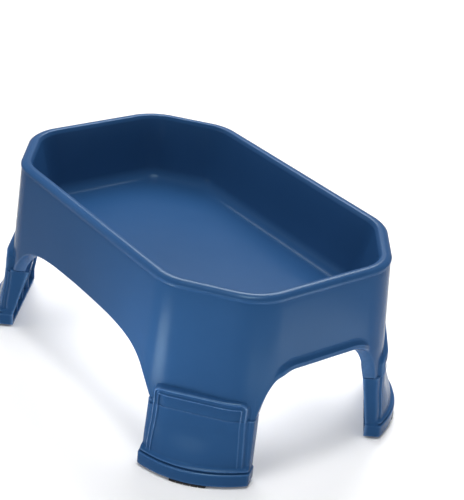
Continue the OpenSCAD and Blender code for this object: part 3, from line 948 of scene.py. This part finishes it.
def moulded_plastic(name, color, rough):
    """Satin injection-moulded plastic: faint flow shading, fine grain, and a painted highlight that
    pales the convex edges.
    """
    mat, tree, bsdf = node_material(name)
    link = tree.links.new
    coords = tree.nodes.new("ShaderNodeTexCoord")
    cloud = add(tree, "ShaderNodeTexNoise", Scale=9.0, Detail=4.0, Roughness=0.55)
    link(coords.outputs["Object"], cloud.inputs["Vector"])
    shade = ramp(tree, cloud.outputs["Fac"],
                 [(0.3, tinted(color, 0.965, 0.0)), (0.7, tinted(color, 1.035, 0.001))])
    geometry = tree.nodes.new("ShaderNodeNewGeometry")
    # convex edges found by pointiness: they get a painted highlight in the base colour and a higher
    # specular level
    edge_highlight_mask = ramp(tree, geometry.outputs["Pointiness"], [(EDGE_HIGHLIGHT_FROM, BLACK), (EDGE_HIGHLIGHT_TO, WHITE)])
    # noise that breaks the painted edge highlight into patches
    highlight_breakup = add(tree, "ShaderNodeTexNoise", Scale=160.0, Detail=3.0, Roughness=0.7)
    link(coords.outputs["Object"], highlight_breakup.inputs["Vector"])
    painted_highlight_amount = tree.nodes.new("ShaderNodeMath")
    painted_highlight_amount.operation = "MULTIPLY"
    link(edge_highlight_mask.outputs["Color"], painted_highlight_amount.inputs[0])
    link(highlight_breakup.outputs["Fac"], painted_highlight_amount.inputs[1])
    painted_edge_highlight = tree.nodes.new("ShaderNodeMix")
    painted_edge_highlight.data_type = "RGBA"
    link(painted_highlight_amount.outputs[0], painted_edge_highlight.inputs[0])
    link(shade.outputs["Color"], painted_edge_highlight.inputs[6])
    # painted highlight: the edges' colour paled towards light blue, standing in for the light that
    # they catch
    painted_edge_highlight.inputs[7].default_value = tinted(color, 2.2, 0.03)
    link(painted_edge_highlight.outputs[2], bsdf.inputs["Base Color"])
    patch = add(tree, "ShaderNodeTexNoise", Scale=38.0, Detail=5.0, Roughness=0.6)
    link(coords.outputs["Object"], patch.inputs["Vector"])
    gloss = tree.nodes.new("ShaderNodeMapRange")
    gloss.inputs["To Min"].default_value = rough - 0.02
    gloss.inputs["To Max"].default_value = rough + 0.03
    link(patch.outputs["Fac"], gloss.inputs["Value"])
    link(gloss.outputs["Result"], bsdf.inputs["Roughness"])
    fine = add(tree, "ShaderNodeTexNoise", Scale=1500.0, Detail=2.0, Roughness=0.5)
    link(coords.outputs["Object"], fine.inputs["Vector"])
    bump = tree.nodes.new("ShaderNodeBump")
    bump.inputs["Strength"].default_value = 0.12
    bump.inputs["Distance"].default_value = GRAIN
    link(fine.outputs["Fac"], bump.inputs["Height"])
    link(bump.outputs["Normal"], bsdf.inputs["Normal"])
    shine = tree.nodes.new("ShaderNodeMapRange")
    shine.inputs["To Min"].default_value = FACE_SPECULAR
    shine.inputs["To Max"].default_value = EDGE_SPECULAR
    link(edge_highlight_mask.outputs["Color"], shine.inputs["Value"])
    link(shine.outputs["Result"], bsdf.inputs["Specular IOR Level"])
    bsdf.inputs["IOR"].default_value = PLASTIC_IOR
    bsdf.inputs["Specular Tint"].default_value = SPECULAR_TINT
    return mat


def rubber(name):
    """Matt black rubber with a fine pebbled skin and a little dust."""
    mat, tree, bsdf = node_material(name)
    link = tree.links.new
    coords = tree.nodes.new("ShaderNodeTexCoord")
    dust = add(tree, "ShaderNodeTexNoise", Scale=90.0, Detail=5.0, Roughness=0.65)
    link(coords.outputs["Object"], dust.inputs["Vector"])
    shade = ramp(tree, dust.outputs["Fac"],
                 [(0.35, (0.006, 0.006, 0.007, 1)), (0.75, (0.020, 0.020, 0.021, 1))])
    link(shade.outputs["Color"], bsdf.inputs["Base Color"])
    pebble = add(tree, "ShaderNodeTexVoronoi", Scale=1300.0)
    link(coords.outputs["Object"], pebble.inputs["Vector"])
    bump = tree.nodes.new("ShaderNodeBump")
    bump.inputs["Strength"].default_value = 0.3
    bump.inputs["Distance"].default_value = 0.0003
    link(pebble.outputs["Distance"], bump.inputs["Height"])
    link(bump.outputs["Normal"], bsdf.inputs["Normal"])
    bsdf.inputs["Roughness"].default_value = 0.72
    bsdf.inputs["Specular IOR Level"].default_value = 0.35
    return mat


def floor_material():
    """Plain pale matt floor, faintly uneven."""
    mat, tree, bsdf = node_material("studio_floor")
    coords = tree.nodes.new("ShaderNodeTexCoord")
    soft = add(tree, "ShaderNodeTexNoise", Scale=3.0, Detail=2.0)
    tree.links.new(coords.outputs["Object"], soft.inputs["Vector"])
    shade = ramp(tree, soft.outputs["Fac"],
                 [(0.3, (0.86, 0.86, 0.865, 1)), (0.7, (0.885, 0.885, 0.89, 1))])
    tree.links.new(shade.outputs["Color"], bsdf.inputs["Base Color"])
    bsdf.inputs["Roughness"].default_value = 0.75
    bsdf.inputs["Specular IOR Level"].default_value = 0.2
    return mat


BLUE = (0.0178, 0.0650, 0.169)
BASIN_PLASTIC = moulded_plastic("basin_plastic_blue", BLUE, 0.22)
EXT_PLASTIC = moulded_plastic("extension_plastic_blue", tuple(c * 1.04 for c in BLUE), 0.24)
RUBBER = rubber("rubber_black")


# ---------------------------------------------------------------- the pieces on their bodies
def dress(piece, body, node, material):
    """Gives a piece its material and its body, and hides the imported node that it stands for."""
    piece.data.materials.clear()
    piece.data.materials.append(material)
    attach(piece, body)
    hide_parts(node)


dress(build_basin(), "basin", "basin", BASIN_PLASTIC)
for corner in CORNERS:
    dress(build_extension(corner), "extension_" + corner, "extension_" + corner,
          EXT_PLASTIC)
    dress(build_foot_pad(corner), "extension_" + corner, "foot_pad_" + corner, RUBBER)
    dress(build_basin_pad(corner), "basin", "basin_pad_" + corner, RUBBER)


# ---------------------------------------------------------------- studio
FLOOR_HALF = 6.0
WORLD_STRENGTH = 0.33
POOL_TURN = 153
# Area lights in metres and watts: name, place, target, width, height, power, spread in degrees
LIGHTS = [
    ("overhead_grid", (-0.334, 0.703, 1.2), (-0.334, 0.703, 0), 2.8, 1.62, 7.2, 26),
    ("back_softbox", (-1.0, 0.85, 1.6), (0, 0, 0.2), 1.3, 0.9, 6, 60),
    ("far_floor", (-1.35, 1.15, 1.6), (-1.35, 1.15, 0), 1.5, 1.5, 9, 60),
    ("under_fill", (0, 0, 0.125), (0, 0, 0), 0.34, 0.18, 0.60, 180),
    ("left_kicker", (0.125, -0.345, 0.045), (0.145, -0.155, 0.17), 0.09, 0.08, 0.07, 70),
    ("long_side_spot", (-0.40, -0.95, 0.60), (-0.05, -0.15, 0.18), 0.3, 0.2, 0.095, 30),
    ("end_kicker", (0.49, 0.03, 0.012), (0.49, 0.03, 1.0), 0.12, 0.50, 1.1, 180),
    ("end_softbox", (0.64, 0.32, 0.15), (0.24, 0, 0.14), 0.4, 0.3, 0.22, 180),
    ("front_low", (0.42, -0.68, 0.20), (0.21, -0.14, 0.04), 0.35, 0.2, 1.35, 180),
    ("rim_strip", (-0.9, -0.75, 0.95), (0, 0, 0.12), 0.5, 0.06, 0.6, 180),
]
# Camera: angles in degrees, distance and target in metres, lens in millimetres
CAMERA_ANGLES = (51.73, 27.09, 5.75)
CAMERA_DISTANCE = 1.5155
CAMERA_TARGET = (0.0537, 0.0132, 0.165)
CAMERA_LENS = 95.25


def build_stage():
    mesh = bpy.data.meshes.new("studio_floor")
    h = FLOOR_HALF
    mesh.from_pydata([(-h, -h, 0), (h, -h, 0), (h, h, 0), (-h, h, 0)], [], [(0, 1, 2, 3)])
    floor = bpy.data.objects.new("studio_floor", mesh)
    bpy.context.scene.collection.objects.link(floor)
    mesh.materials.append(floor_material())


def area_light(name, place, target, width, height, watts, spread):
    """A rectangular light at place that faces target."""
    data = bpy.data.lights.new(name, "AREA")
    data.shape = "RECTANGLE"
    data.size = width
    data.size_y = height
    data.energy = watts
    data.spread = math.radians(spread)
    lamp = bpy.data.objects.new(name, data)
    bpy.context.scene.collection.objects.link(lamp)
    lamp.location = place
    way = Vector(target) - Vector(place)
    lamp.rotation_mode = "QUATERNION"
    lamp.rotation_quaternion = way.to_track_quat("-Z", "Y")
    return lamp


def build_light():
    world = bpy.data.worlds.new("studio_world")
    bpy.context.scene.world = world
    world.use_nodes = True
    background = world.node_tree.nodes["Background"]
    background.inputs["Color"].default_value = WHITE
    background.inputs["Strength"].default_value = WORLD_STRENGTH
    lamps = [area_light(*light) for light in LIGHTS]
    # the overhead panel lies flat and is turned about its middle
    overhead = lamps[0]
    overhead.rotation_quaternion = Quaternion((0, 0, 1), math.radians(POOL_TURN))


def build_camera():
    """Camera at the photograph's angle, with its slight roll."""
    azimuth, elevation, roll = map(math.radians, CAMERA_ANGLES)
    back = Vector((math.sin(azimuth) * math.cos(elevation),
                   -math.cos(azimuth) * math.cos(elevation), math.sin(elevation)))
    right = (-back).cross(Vector((0, 0, 1))).normalized()
    up = right.cross(-back)
    turned_right = right * math.cos(roll) + up * math.sin(roll)
    turned_up = up * math.cos(roll) - right * math.sin(roll)
    data = bpy.data.cameras.new("camera")
    data.lens = CAMERA_LENS
    camera = bpy.data.objects.new("camera", data)
    bpy.context.scene.collection.objects.link(camera)
    basis = Matrix((turned_right, turned_up, back)).transposed()
    place = Vector(CAMERA_TARGET) + back * CAMERA_DISTANCE
    camera.matrix_world = Matrix.Translation(place) @ basis.to_4x4()
    bpy.context.scene.camera = camera


build_stage()
build_light()
build_camera()
bpy.context.scene.view_settings.view_transform = "Standard"
